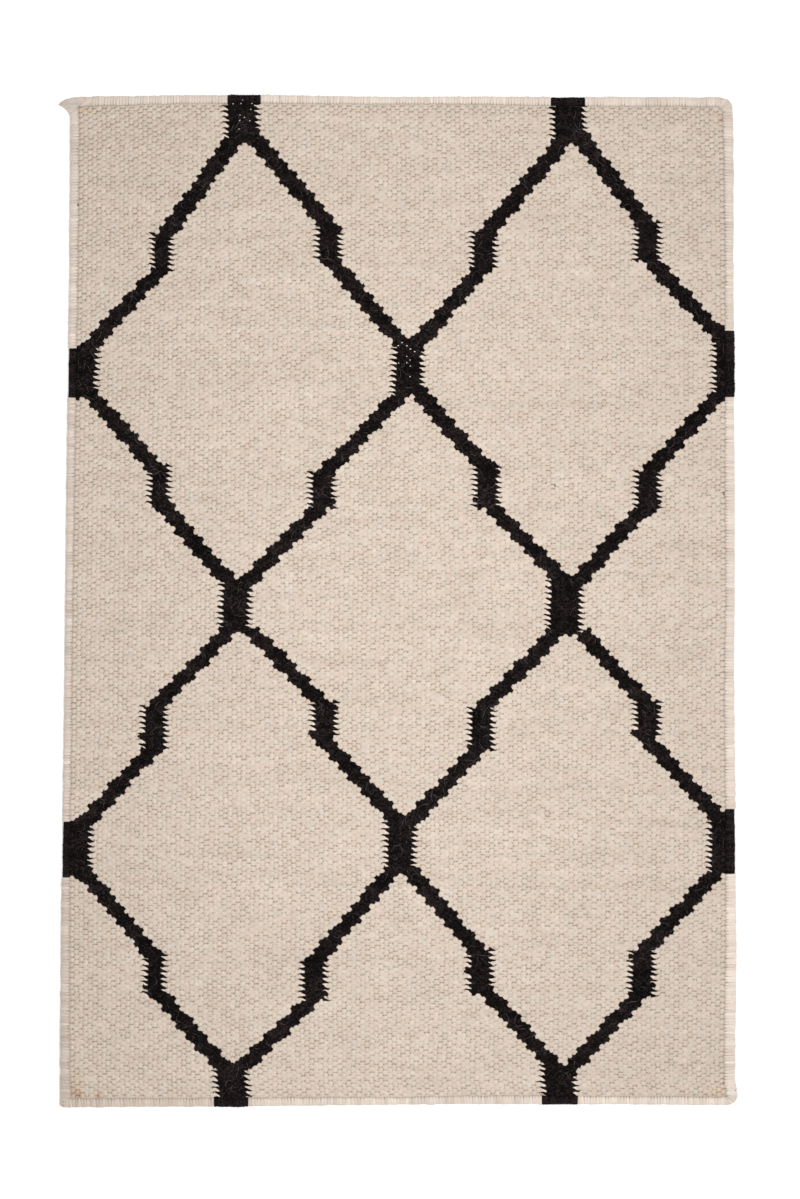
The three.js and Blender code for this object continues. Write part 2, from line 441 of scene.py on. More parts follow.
def grid_quads(grid):
    """Quads of a grid of point numbers, anticlockwise if its rows run right and follow one another up."""
    return np.stack([grid[:-1, :-1], grid[:-1, 1:], grid[1:, 1:], grid[1:, :-1]], axis=-1).reshape(-1, 4)


def wall(line, below, steps, steps_below):
    """Faces between a line of points on the face and the one under it, so many steps long on each."""
    upper = [line[i:len(line) - steps + i:steps] for i in range(steps + 1)]
    lower = [below[i:len(below) - steps_below + i:steps_below] for i in range(steps_below + 1)]
    return np.stack(upper + lower[::-1], axis=1)


# The cloth's shape


def swell(x, y, lengths, seed):
    """Soft waves, about 1 high: sines in random directions, from the shorter wavelength to the longer."""
    rng = np.random.default_rng(seed)
    total = np.zeros(np.broadcast(x, y).shape)
    for length in np.geomspace(*lengths, SINES):
        turn = rng.uniform(0, math.tau)
        phase = rng.uniform(0, math.tau)
        total += np.sin((x * math.cos(turn) + y * math.sin(turn)) * math.tau / length + phase)
    return total / math.sqrt(SINES)


def edges(table, where, seed):
    """Both edges of one direction, then the widths of their bands, at each place along them.

    All are straight between the rows of the table, and the bands' widths wave a little besides.
    """
    order = np.argsort(table[:, 0])
    found = [np.interp(where, table[order, 0], table[order, i]) for i in (1, 2, 3, 4)]
    for i in (0, 1):
        found[2 + i] += BAND_WAVE * swell(where, where, BAND_LENGTHS, seed + i)
    return found


def long_edges(y):
    """Left and right edge of the rug at y, and how wide their bands are."""
    return edges(LONG_EDGES, y, SEEDS["long_bands"])


def short_edges(x):
    """Top and bottom edge of the rug at x, and how wide their bands are."""
    return edges(SHORT_EDGES, x, SEEDS["short_bands"])


def place(u, v):
    """Where warp u and row v lie in the drawing.

    They are spread evenly between the stitch lines of the four edges, found in two rounds, and swayed
    by soft waves that fade out at those lines.
    """
    share_across = u / WARPS
    share_along = v / ROWS
    x = (share_across - 0.5) * FIRST_WIDTH
    for _ in range(2):
        top, bottom, top_band, bottom_band = short_edges(x)
        y = bottom + bottom_band + (top - bottom - top_band - bottom_band) * share_along
        left, right, left_band, right_band = long_edges(y)
        x = left + left_band + (right - left - left_band - right_band) * share_across
    moved = []
    for axis, (line, share) in enumerate(((x, share_across), (y, share_along))):
        sway = SWAY[axis] * swell(x, y, SWAY_LENGTHS[axis], SEEDS["sway"][axis])
        ripple = RIPPLE * swell(x, y, RIPPLE_LENGTHS, SEEDS["ripple"][axis])
        moved.append(line + np.clip(FADE[axis] * share * (1 - share), 0, 1) * (sway + ripple))
    return moved


def warp_at(x, y):
    """Which warp lies at x when there is no sway: the inverse of place across the rug."""
    left, right, left_band, right_band = long_edges(y)
    return (x - left - left_band) / (right - left - left_band - right_band) * WARPS


def in_diagonal(x, y):
    """True inside a diagonal band: less than half its width to the side of its middle."""
    found = np.zeros(x.shape, bool)
    for start_x, start_y, end_x, end_y in DIAGONALS:
        share = (start_y - y) / (start_y - end_y)
        middle = start_x + (end_x - start_x) * share
        level = (share > -DIAGONAL_OVERRUN) & (share < 1 + DIAGONAL_OVERRUN)
        found |= level & (abs(x - middle) < DIAGONAL_WIDTH / 2)
    return found


def chart(column, cell, shifted):
    """The bumps' colours: which are black, share their warp between both wools, or are changed by a slip.

    A bump is looked up in the trellis by its middle. The columns beside an upright's core are teeth:
    +1 has the core on its left, -1 on its right. A lost bump starts at a slip's missing lump, and the
    pointed one lies beyond that. shifted columns have their bumps half a bump lower.
    """
    x, y = place(column + 0.5, cell + 0.5 - 0.5 * shifted)
    core = np.zeros(x.shape, bool)
    teeth = np.zeros(x.shape, int)
    for middle, warps, top, bottom in UPRIGHTS:
        first = round(warp_at(middle, (top + bottom) / 2) - warps / 2)
        level = (y < top) & (y > bottom)
        core |= level & (column >= first) & (column < first + warps)
        teeth += level * (column == first + warps)
        teeth -= level * (column == first - 1)
    black = core | in_diagonal(x, y)
    lost, pointed = np.zeros((2, *x.shape), bool)
    start_x, start_y = place(column + 0.5, cell - 0.5 * shifted)
    for slip_x, slip_y in SLIPS:
        lost |= (abs(start_x - slip_x) < WARP_PITCH / 2) & (abs(start_y - slip_y) < BUMP_PITCH / 2)
        pointed |= (abs(x + WARP_PITCH - slip_x) < WARP_PITCH / 2) & (abs(y - slip_y) < BUMP_PITCH / 2)
    return dict(black=black, teeth=np.where(black, 0, teeth), lost=lost, pointed=pointed)


def weave_side(across, along, flip, seed):
    """One side of the cloth as a grid, with the bumps' colours.

    Across a bump the grid has `across` steps, along it `along` steps. Odd columns have their bumps half
    a bump lower, and on the back it is the even ones (flip). Returns a dict of arrays with rows along the
    rug and columns across it. The ..._at ones say for each step of each column what its bump is like.
    """
    rng = np.random.default_rng(seed)
    line = np.arange(WARPS * across + 1)
    step = np.arange(ROWS * along + 1)
    column = np.arange(WARPS)
    shifted = (column + flip) % 2
    offset = shifted * (along // 2)

    cells = np.broadcast_to(np.arange(ROWS + 1)[:, None], (ROWS + 1, WARPS))
    bumps = chart(column[None, :], cells, shifted[None, :])
    gain = rng.normal(1.0, BUMP_GAIN, cells.shape)
    shut = rng.uniform(0, 1, cells.shape)
    shut[:, [0, -1]] *= RIM_SHUT
    shut[[0, -2, -1], :] *= RIM_SHUT
    nudge = BUMP_NUDGE * rng.uniform(-1, 1, (2, *cells.shape))
    bend = DASH_BEND * rng.uniform(-1, 1, cells.shape)
    drift = np.cumsum(rng.normal(0, 1, (ROWS + 1, WARPS + DRIFT_LENGTH)), axis=1)
    weft = (drift[:, DRIFT_LENGTH:] - drift[:, :-DRIFT_LENGTH]) / math.sqrt(DRIFT_LENGTH)
    tone = WEFT_TONE * weft + OWN_TONE * rng.normal(0, 1, cells.shape)

    bump, phase = np.divmod(step[:, None] + offset[None, :], along)
    pick = (bump, column[None, :])
    return bumps | dict(
        line=line, step=step, offset=offset, tone=tone, phase=phase, teeth_at=bumps["teeth"][pick],
        gain_at=gain[pick], shut_at=shut[pick], nudge_at=nudge[:, *pick], bend_at=bend[pick],
        rough=rng.uniform(-1, 1, (3, len(step), len(line))),
    )


def flat_grid(side, across, along):
    """For a side's grid points, how many warps across and bumps along they are, and room for heights."""
    shape = (len(side["step"]), len(side["line"]))
    u = np.broadcast_to(side["line"] / across, shape).copy()
    v = np.broadcast_to(side["step"][:, None] / along, shape).copy()
    return u, v, np.empty(shape)


def face_points():
    """The face of the cloth.

    Each bump is a six-sided pillow, 3 by 4 grid steps, with its crown over its warp. Between two bumps
    of one warp the pillow dips to a dash, more or less closed up. The lines between the warps run in a
    zigzag round the crowns, with a pit at each end of a dash and a saddle between two pits. In a tooth
    column each bump is a black and a cream half, and the black one is a wedge, its root at the core.
    """
    side = weave_side(FACE_ACROSS, FACE_ALONG, 0, SEEDS["face"])
    u, v, high = flat_grid(side, FACE_ACROSS, FACE_ALONG)
    phase, teeth, shut = side["phase"], side["teeth_at"], side["shut_at"]
    toothed = teeth != 0

    bump_height = np.array([0.0, SHOULDER, 1.0, SHOULDER])[phase] * side["gain_at"]
    bump_height += np.where(phase == 0, DASH[0] + DASH[1] * shut, 0)
    inner = np.where(toothed, TOOTH_HEIGHTS[phase], bump_height)
    for line in range(1, FACE_ACROSS):
        high[:, line::FACE_ACROSS] = inner

    # A pit belongs to the dash that ends there, of the warp on its right or of the one on its left
    right = np.minimum(np.arange(WARPS + 1), WARPS - 1)
    left = np.maximum(np.arange(WARPS + 1) - 1, 0)
    shut_there = np.where(phase[:, right] == 0, shut[:, right], shut[:, left])
    is_pit = side["step"][:, None] % 2 == 0
    pit = PIT[0] + PIT[1] * shut_there + PIT_ROUGH * side["rough"][2][:, ::FACE_ACROSS]
    high[:, ::FACE_ACROSS] = np.where(is_pit, pit, SADDLE)

    # Crowns press the line beside them outwards, and no bump lies quite straight
    u[:, FACE_ACROSS::FACE_ACROSS] += np.array([-1.0, 0.0, 1.0, 0.0])[phase] * ZIGZAG
    for line in range(1, FACE_ACROSS):
        u[:, line::FACE_ACROSS] += side["nudge_at"][0]
        v[:, line::FACE_ACROSS] += side["nudge_at"][1] + np.where(phase == 0, side["bend_at"], 0)
    u += POINT_NUDGE * side["rough"][0]
    v += POINT_NUDGE * side["rough"][1]
    high = np.clip(high + POINT_ROUGH * side["rough"][2], 0, HIGHEST)

    # Teeth: the black wedge ends in a point past the next warp line, and the cream lump between two
    # of them ends round in the core
    spread = np.array([0.0, -1.0, 0.0, 1.0])[phase]
    tip = TIP_REACH * TIP_SHAPE[phase]
    lump = LUMP_REACH * LUMP_SHAPE[phase]
    for index in range(FACE_ACROSS + 1):
        lines = slice(index, index + FACE_ACROSS * WARPS, FACE_ACROSS)
        share = np.where(teeth > 0, index, FACE_ACROSS - index) / FACE_ACROSS
        root = np.where(teeth > 0, TOOTH_ROOT[0], TOOTH_ROOT[1])
        half = root + (TOOTH_TIP - root) * share
        fall = TOOTH_FALL * (index / FACE_ACROSS - 0.5)
        at_tip = toothed & (share == 1)
        at_root = toothed & (share == 0)
        v[:, lines] += np.where(toothed, spread * (half - 1 / FACE_ALONG) - fall, 0)
        u[:, lines] += teeth * np.where(at_tip, tip, 0) - teeth * np.where(at_root, lump, 0)
        root_height = np.where(at_root, ROOT_HEIGHTS[phase], high[:, lines])
        high[:, lines] = np.where(at_tip, TIP_HEIGHTS[phase], root_height)
    return side | finish_side(u, v, high, CLOTH - RELIEF, RELIEF, FACE_TUCK)


def back_points():
    """The back of the cloth: bumps of 2 by 2 grid steps, half a bump on, with crowns on the floor."""
    side = weave_side(BACK_ACROSS, BACK_ALONG, 1, SEEDS["back"])
    u, v, high = flat_grid(side, BACK_ACROSS, BACK_ALONG)
    high[:, 1::BACK_ACROSS] = np.array([BACK_DASH, 1.0])[side["phase"]]
    high[:, ::BACK_ACROSS] = BACK_VALLEY
    return side | finish_side(u, v, high, BACK_RELIEF, -BACK_RELIEF, BACK_TUCK)


def finish_side(u, v, high, floor, relief, tuck):
    """Tucks a side's outermost lines under the overcasting, and puts its points in the drawing.

    A point's height is the floor of the pits and its share of the relief.
    """
    # depth feeds the wool's painted shade: the outermost lines, under the overcasting, are painted dark
    depth = high.copy()
    depth[:, [0, -1]] = EDGE_SHADE
    depth[[0, -1], :] = EDGE_SHADE
    high[:, [0, -1]] = tuck
    high[[0, -1], :] = tuck
    u[:, 0] -= TUCK[0]
    u[:, -1] += TUCK[0]
    v[0, :] -= TUCK[1]
    v[-1, :] += TUCK[1]
    x, y = place(u, v)
    points = np.stack([x, y, floor + relief * high], axis=-1)
    yarn = np.stack([u * WARP_PITCH, v * BUMP_PITCH], axis=-1)
    normal = math.copysign(1, relief) * grid_normals(points)
    return dict(points=points, uv=yarn, depth=depth, normal=normal)


def face_colours(side, across, along, black_phases, start, end):
    """For the quads of warps start to end, their material and their bump's tone, row by row.

    At a slip the lump between two teeth is black too, and so is an arrowhead on the bump beyond it.
    """
    rows = np.arange(ROWS * along)[:, None]
    columns, part = np.divmod(np.arange(start * across, end * across), across)
    bump, phase = np.divmod(rows + side["offset"][columns], along)
    pick = (bump, columns)
    teeth = side["teeth"][pick]
    in_wedge = np.isin(phase, black_phases)
    after = (np.minimum(bump + 1, ROWS), columns)
    lost = side["lost"][pick] & (phase == 0) | side["lost"][after] & (phase == along - 1)
    black = np.where(teeth != 0, in_wedge | lost, side["black"][pick])
    black |= side["pointed"][pick] & ((part == across - 1) | (part > 0) & in_wedge)
    by_core = (teeth > 0) & (part < across - 1) | (teeth < 0) & (part > 0)
    # Cream lumps by the core get a painted highlight
    tone = side["tone"][pick] + TOOTH_HIGHLIGHT * (by_core & ~black)
    return black.ravel(), tone.ravel()


def weave_strip(number, face, back, materials):
    """One strip of the cloth as a closed slab: its face, its back and four walls round them.

    The cloth is one, and is cut into strips only in the valleys between warps.
    """
    start, end = (round(WARPS * cut / STRIPS) for cut in (number, number + 1))
    on_top = slice(FACE_ACROSS * start, FACE_ACROSS * end + 1)
    below = slice(BACK_ACROSS * start, BACK_ACROSS * end + 1)
    points, uv, depths, normals = (
        np.concatenate([face[key][:, on_top].reshape(-1, size), back[key][:, below].reshape(-1, size)])
        for key, size in (("points", 3), ("uv", 2), ("depth", 1), ("normal", 3))
    )
    top = numbered(*face["depth"][:, on_top].shape)
    under = numbered(*back["depth"][:, below].shape, top.size)
    quads = [grid_quads(top), grid_quads(under)[:, ::-1]]
    along = (FACE_ALONG // BACK_ALONG, 1)
    across = (FACE_ACROSS, BACK_ACROSS)
    walls = [
        wall(top[:, 0], under[:, 0], *along), wall(top[::-1, -1], under[::-1, -1], *along),
        wall(top[0, ::-1], under[0, ::-1], *across), wall(top[-1], under[-1], *across),
    ]

    on_face = face_colours(face, FACE_ACROSS, FACE_ALONG, FACE_BLACK, start, end)
    on_back = face_colours(back, BACK_ACROSS, BACK_ALONG, BACK_BLACK, start, end)
    on_walls = np.zeros(sum(len(faces) for faces in walls))
    slots, tones = (np.concatenate([*both, on_walls]) for both in zip(on_face, on_back))
    strip = new_piece(
        f"woven_strip_{number + 1}", points, quads + walls, materials, slots, uv,
        tone=tones, depth=depths[:, 0], tan=tan_share(points),
    )
    shade_smooth(strip, normals[np.concatenate(quads).ravel()])
    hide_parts("woven_panel")


# The overcasting


def side_line(side, where, inset):
    """Points on one side, `where` along it and in from its edge by inset, which grows with the band."""
    lengthways = side in ("left", "right")
    found = long_edges(where) if lengthways else short_edges(where)
    second = side in ("right", "bottom")
    inwards = 1 if side in ("left", "bottom") else -1
    line = found[second] + inwards * inset * found[2 + second] / BAND
    along = np.broadcast_to(where, line.shape)
    return (line, along) if lengthways else (along, line)


def corner_line(name, share, inset):
    """Points round a corner, anticlockwise, with share from 0 to 1: an arc whose radius shrinks inwards.

    At the pulled corner the skin leaves the arc for two quadratic curves that meet in a tip, less and
    less so towards the top and the bottom of the band.
    """
    corner = CORNERS[name]
    radius = corner["radius"] + (corner["inner"] - corner["radius"]) * np.clip(inset / BAND, 0, 1)
    middle = math.atan2(corner["endways"], corner["sideways"])
    angle = middle + (share - 0.5) * math.pi / 2
    long_bands = long_edges(np.array(tangent("left", name)))[2:]
    short_bands = short_edges(np.array(tangent("top", name)))[2:]
    sideways_inset = inset * long_bands[corner["sideways"] > 0] / BAND
    endways_inset = inset * short_bands[corner["endways"] < 0] / BAND
    x = corner["x"] - corner["sideways"] * (sideways_inset + radius) + radius * np.cos(angle)
    y = corner["y"] - corner["endways"] * (endways_inset + radius) + radius * np.sin(angle)
    if name != "top_left":
        return x, y
    pull = np.clip(PULL * (1 - inset / CROWN), 0, 1)
    pulled = []
    for line, tip, control, next_control in zip((x, y), PULLED_TIP, PULLED_ABOVE, PULLED_BELOW):
        above = bent(line[:1], control, tip, np.clip(2 * share, 0, 1))
        below = bent(tip, next_control, line[-1:], np.clip(2 * share - 1, 0, 1))
        pulled.append(line + (np.where(share < 0.5, above, below) - line) * pull)
    return pulled


def bent(start, control, end, share):
    """A quadratic curve's coordinate: from start to end, drawn towards the control."""
    return (1 - share) ** 2 * start + 2 * share * (1 - share) * control + share ** 2 * end


def yarn_section(proud):
    """The overcasting's section, clockwise seen along the rim with the rug on the left.

    Rows are inset, height, how much of a stitch's ridge it has, how far it is out of the painted shade of
    the stitch holes, and how much of that it loses between two stitches, where shade is painted as well.
    It goes from the hole at the stitch line over the crown, a half ellipse, to the hole below, and back
    through the slot for the rim.
    """
    hole = BAND + 0.4
    half = WRAP_TOP / 2
    above = [
        (hole, half + 1.1, 0.2, 0.32, 1.0),
        (hole - 0.9, WRAP_TOP - 0.35, 0.8, 0.62, 0.9),
        (hole - 2.8, WRAP_TOP, 1.0, 0.84, 0.6),
    ]
    for angle in np.radians([90, 50, 22]):
        reach = CROWN - (CROWN + proud) * math.cos(angle)
        above.append((reach, half + half * math.sin(angle), 1.0, 1.0, 0.6))
    below = [(inset, WRAP_TOP - height, *look) for inset, height, *look in above[::-1]]
    slot = [(YARN, half + side * 0.95, 0.0, 0.0, 0.0) for side in (-1, 1)]
    return np.array(above + below + slot)


def by_step(values):
    """One value for each valley between stitches, held over the steps of the stitch after it."""
    return values.repeat(STITCH_STEPS)[:1 - STITCH_STEPS]


def overcast_run(name, stretches, proud, material, seed, lean=0.0):
    """One run of overcast stitches as a closed mesh, along stretches of sides and round a corner.

    proud is how far it stands out past the edge, and lean how much lighter its yarn is than the rest,
    partly its own tone and partly painted shade.
    """
    rng = np.random.default_rng(seed)
    section = yarn_section(proud)
    inset, height, ridge, open_air, loss = section.T[:, None, :]
    rows, tones, depths, along = [], [], [], []
    run_along = 0.0
    for kind, key, start, end in stretches:
        length = abs(end - start) if kind == "side" else 2 * CORNERS[key]["radius"]
        count = max(2, round(length / STITCH))
        steps = STITCH_STEPS * count
        wobble = by_step(rng.normal(0, STITCH_WOBBLE, count + 1)) / count
        wobble[[0, -1]] = 0
        share = np.clip(np.arange(steps + 1) / steps + wobble, 0, 1)[:, None]
        fall = np.resize(STITCH_FALL, steps + 1)[:, None]
        lift = by_step(rng.normal(0, STITCH_LIFT, count + 1))[:, None]
        sunk = STITCH_RIDGE * ridge * (fall + lift * (1 - fall))
        distance = run_along + share * length
        wave = SKIN_WAVE * swell(distance, distance, SKIN_LENGTHS, seed)
        here = inset + (sunk + wave) * np.clip((CROWN - inset) / CROWN, 0, 1)
        down = sunk * np.sign(height - WRAP_TOP / 2) * np.clip(inset / CROWN, 0, 1)
        if kind == "side":
            x, y = side_line(key, start + (end - start) * share, here)
        else:
            x, y = corner_line(key, share, here)
        rows.append(np.stack([x, y, np.broadcast_to(height - down, x.shape)], axis=-1))
        # A run's lean carries its painted shade as well as its tone; each stitch adds a random tone of
        # its own
        tones.append(lean + rng.normal(0, STITCH_TONE, count).repeat(STITCH_STEPS))
        # Painted shade: darker towards the stitch holes, and in the valley between two stitches by that
        # valley's own dip
        dip = by_step(rng.uniform(*STITCH_DIP, count + 1))[:, None]
        depths.append(open_air * (1 - fall * dip * loss))
        along.append(distance[:, 0])
        run_along += length
    points = join_stretches(rows)
    count, sides = points.shape[:2]
    rings = numbered(count, sides)
    caps = np.stack([rings[0], rings[-1, ::-1]])
    around = np.concatenate([[0], np.cumsum(np.hypot(*np.diff(section[:, :2], axis=0).T))])
    uv = np.stack(np.broadcast_arrays(around, join_stretches(along)[:, None]), axis=-1)
    run = new_piece(
        f"overcast_{name}", points.reshape(-1, 3), [grid_quads(closed(rings).T), caps], [material],
        uv=uv.reshape(-1, 2), depth=join_stretches(depths).ravel(),
        tone=np.concatenate([np.tile(np.concatenate(tones), sides), [0, 0]]),
    )
    crease(run, lambda low, high: (low // sides == high // sides) & (low // sides % STITCH_STEPS == 0))
    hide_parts(f"edge_{name}")


def join_stretches(parts):
    """Puts stretches end to end, where each starts at the point that the last one ended at."""
    return np.concatenate([parts[0], *(part[1:] for part in parts[1:])])


def tangent(side, corner_name):
    """Where on a side its corner's arc starts, at the outline."""
    corner = CORNERS[corner_name]
    if side in ("top", "bottom"):
        return corner["x"] - corner["sideways"] * corner["radius"]
    return corner["y"] - corner["endways"] * corner["radius"]


def on_the_way(side, low, high):
    """A stretch of a side, from the end that comes first on the way round the rug, anticlockwise."""
    return ("side", side, low, high) if side in ("bottom", "right") else ("side", side, high, low)


def sew_rim(cream, black):
    """The eight black runs, the cream ones between them, and the cream ones round the corners."""
    for index, (name, (side, low, high, proud)) in enumerate(BLACK_RUNS.items()):
        stretches = [on_the_way(side, low, high)]
        seed = SEEDS["black_runs"] + index
        overcast_run(f"black_{name}", stretches, proud, black, seed)
    ends = {}
    for index, side in enumerate(("top", "right", "bottom", "left")):
        low_run, high_run = sorted(run[1:3] for run in BLACK_RUNS.values() if run[0] == side)
        ends[side] = (low_run[0] - RUN_GAP, high_run[1] + RUN_GAP)
        stretches = [on_the_way(side, low_run[1] + RUN_GAP, high_run[0] - RUN_GAP)]
        seed = SEEDS["cream_runs"] + index
        overcast_run(f"cream_{side}", stretches, 0, cream, seed, CREAM_TONES_AND_SHADE[side])
    # Corner: the side before it and the end of that side's cream, then the side after it, anticlockwise
    turns = {
        "bottom_right": ("bottom", ends["bottom"][1], "right", ends["right"][0]),
        "top_right": ("right", ends["right"][1], "top", ends["top"][1]),
        "top_left": ("top", ends["top"][0], "left", ends["left"][1]),
        "bottom_left": ("left", ends["left"][0], "bottom", ends["bottom"][0]),
    }
    for index, (name, (before, start, after, end)) in enumerate(turns.items()):
        stretches = [
            ("side", before, start, tangent(before, name)),
            ("corner", name, 0, 1),
            ("side", after, tangent(after, name), end),
        ]
        seed = SEEDS["cream_corners"] + index
        run = f"cream_corner_{name}"
        overcast_run(run, stretches, 0, cream, seed, CREAM_TONES_AND_SHADE[name])


# Hairs and stray bits


def loose_hairs(name, black, count, seed, material):
    """Fine hairs that have worked out of the wool and lie over the black, as one mesh.

    Each is a three-sided tube, thinner towards its ends, along an arc: it starts at a random black bump
    with a random heading, which turns evenly along it, and its middle stands a little clear of the cloth.
    """
    rng = np.random.default_rng(seed)
    cell, column = np.divmod(rng.choice(np.flatnonzero(black), count), WARPS)
    start = place(column + rng.uniform(0, 1, count), cell + rng.uniform(0, 1, count))
    length = rng.uniform(*HAIR_LENGTH, count)
    share = np.linspace(0, 1, HAIR_STEPS + 1)
    bow = np.sin(math.pi * share)
    heading = rng.uniform(0, math.tau, count)[:, None] + rng.normal(0, HAIR_TURN, count)[:, None] * share
    forward = np.stack([np.cos(heading), np.sin(heading)], axis=-1)
    middle = np.stack(start, axis=-1)[:, None, :]
    middle = middle + np.cumsum(forward, axis=1) * (length / HAIR_STEPS)[:, None, None]
    middle = np.clip(middle, *HAIR_FIELD)
    radius = (HAIR_RADIUS * (HAIR_END + (1 - HAIR_END) * bow))[None, :, None]
    height = CLOTH - HAIR_RADIUS + HAIR_RISE * bow * rng.uniform(0.3, 1.0, count)[:, None]
    turn = np.arange(3) * math.tau / 3
    aside = radius * np.cos(turn)
    x = middle[..., 0, None] - np.sin(heading)[..., None] * aside
    y = middle[..., 1, None] + np.cos(heading)[..., None] * aside
    z = height[..., None] + radius * np.sin(turn)
    rings = numbered(HAIR_STEPS + 1, 3)
    hair = rings.size * np.arange(count)[:, None, None]
    quads = (hair + grid_quads(closed(rings))).reshape(-1, 4)
    caps = (hair + np.stack([rings[0, ::-1], rings[-1]])).reshape(-1, 3)
    hairs = new_piece(name, np.stack([x, y, z], axis=-1).reshape(-1, 3), [quads, caps], [material])


def bits(name, table, height, thickness, material):
    """Small rounded bits as one mesh: an egg for each row of x, y, length, width and turn in degrees.

    An egg has two rings of points between its poles, a fifth of its height above and below its middle.
    """
    x, y, length, width, turn = np.array(table).T[:, :, None]
    angle = np.arange(BIT_SIDES) * math.tau / BIT_SIDES
    lengthways = 0.5 * length * np.concatenate([[0], np.cos(angle), np.cos(angle), [0]])
    sideways = 0.5 * width * np.concatenate([[0], np.sin(angle), np.sin(angle), [0]])
    up = np.repeat([-0.5, -0.2, 0.2, 0.5], [1, BIT_SIDES, BIT_SIDES, 1])
    turn = np.radians(turn)
    points = np.stack([
        x + lengthways * np.cos(turn) - sideways * np.sin(turn),
        y + lengthways * np.sin(turn) + sideways * np.cos(turn),
        np.broadcast_to(height + thickness * up, lengthways.shape),
    ], axis=-1)
    rings = closed(numbered(2, BIT_SIDES, 1))
    low, high = rings
    under = np.stack([np.zeros(BIT_SIDES, int), low[1:], low[:-1]], axis=1)
    over = np.stack([np.full(BIT_SIDES, len(up) - 1), high[:-1], high[1:]], axis=1)
    egg = len(up) * np.arange(len(table))[:, None, None]
    quads = (egg + grid_quads(rings)).reshape(-1, 4)
    caps = (egg + np.concatenate([under, over])).reshape(-1, 3)
    piece = new_piece(name, points.reshape(-1, 3), [quads, caps], [material])


# Materials


def add(tree, kind, links=None, **settings):
    """Adds a node to a material, sets its properties, and gives its inputs a value or a node's output."""
    node = tree.nodes.new(kind)
    for key, value in settings.items():
        setattr(node, key, value)
    for socket, value in (links or {}).items():
        if isinstance(value, bpy.types.NodeSocket):
            tree.links.new(value, node.inputs[socket])
        else:
            node.inputs[socket].default_value = value
    return node


def new_material(name, roughness, sheen, gloss=0.1):
    """A matt surface with one roughness, sheen and gloss: the material, its node tree and its shader."""
    material = bpy.data.materials.new(name)
    material.use_nodes = True
    tree = material.node_tree
    shader = tree.nodes["Principled BSDF"]
    shader.inputs["Roughness"].default_value = roughness
    shader.inputs["Specular IOR Level"].default_value = gloss
    shader.inputs["Sheen Weight"].default_value = sheen
    shader.inputs["Sheen Roughness"].default_value = 0.6
    return material, tree, shader


def woollen(name, pit, dark, light, sheen, gloss, contrast, share, drift):
    """Woollen-spun yarn: matt and hairy, each bump or stitch a little lighter or darker than the next.

    Its fibres run along the first pattern coordinate with a slight twist, about 0.4 mm apart, which is
    coarser than real so that they show. The fleece's own colour wanders between a pinkish and a greenish
    tinge every 10 mm or so. Shade is painted into the colour: the wool is painted darker down in the
    pits, towards its pit colour. Tan and rusty wool is tinted by a ramp, and counts as a little deeper.
    share is how much of the light colour the wool has, contrast how much its fibres change that, and
    drift how much it changes from yarn to yarn and over the cloth.
    """
    material, tree, shader = new_material(name, 0.95, sheen, gloss)
    yarn = add(tree, "ShaderNodeUVMap", uv_map="yarn").outputs["UV"]
    stretched = {"Vector": yarn, "Scale": (0.4, 2.6, 1.0), "Rotation": (0.0, 0.0, 0.3)}
    twist = add(tree, "ShaderNodeMapping", stretched).outputs["Vector"]
    noises = ((twist, 1.0, 3.0), (yarn, 0.6, 2.0), (yarn, 0.03, 2.0), (yarn, 0.1, 1.0))
    fibre, slub, cloud, fleece = (
        add(tree, "ShaderNodeTexNoise", {"Vector": way, "Scale": scale, "Detail": detail}).outputs["Fac"]
        for way, scale, detail in noises
    )
    tone, tan, depth = (
        add(tree, "ShaderNodeAttribute", attribute_name=key).outputs["Fac"]
        for key in ("tone", "tan", "depth")
    )
    level = share - contrast - drift / 2
    for part, weight in ((tone, 0.2 * drift), (fibre, contrast), (slub, contrast), (cloud, drift)):
        sum_up = {0: part, 1: weight, 2: level}
        level = add(tree, "ShaderNodeMath", sum_up, operation="MULTIPLY_ADD").outputs[0]
    colours = {0: level, 6: srgb(dark), 7: srgb(light)}
    wool = add(tree, "ShaderNodeMix", colours, data_type="RGBA").outputs[2]
    tinges = {0: fleece, 6: srgb("#fff3ed"), 7: srgb("#f8ffff")}
    tinge = add(tree, "ShaderNodeMix", tinges, data_type="RGBA").outputs[2]
    both = {0: 1.0, 6: wool, 7: tinge}
    wool = add(tree, "ShaderNodeMix", both, data_type="RGBA", blend_type="MULTIPLY").outputs[2]
    sunk = {0: tan, 1: -TAN_SINK, 2: depth}
    depth = add(tree, "ShaderNodeMath", sunk, operation="MULTIPLY_ADD").outputs[0]
    # Painted shade: below PIT_SHADE, the lower a point, the more of the pit colour it gets
    levels = {"Value": depth, "From Min": 0.0, "From Max": PIT_SHADE}
    shade = add(tree, "ShaderNodeMapRange", levels, interpolation_type="SMOOTHSTEP").outputs["Result"]
    shaded = {0: shade, 6: srgb(pit), 7: wool}
    colour = add(tree, "ShaderNodeMix", shaded, data_type="RGBA").outputs[2]
    ramp = add(tree, "ShaderNodeValToRGB", {"Fac": tan})
    ramp.color_ramp.elements[0].color = srgb("#ffffff")
    ramp.color_ramp.elements[1].color = srgb("#f0ded9")
    ramp.color_ramp.elements.new(0.5).color = srgb("#fff6ec")
    both = {0: 1.0, 6: colour, 7: ramp.outputs["Color"]}
    colour = add(tree, "ShaderNodeMix", both, data_type="RGBA", blend_type="MULTIPLY").outputs[2]
    bump = add(tree, "ShaderNodeBump", {"Height": fibre, "Strength": 0.35, "Distance": 0.0004})
    tree.links.new(colour, shader.inputs["Base Color"])
    tree.links.new(bump.outputs["Normal"], shader.inputs["Normal"])
    return material


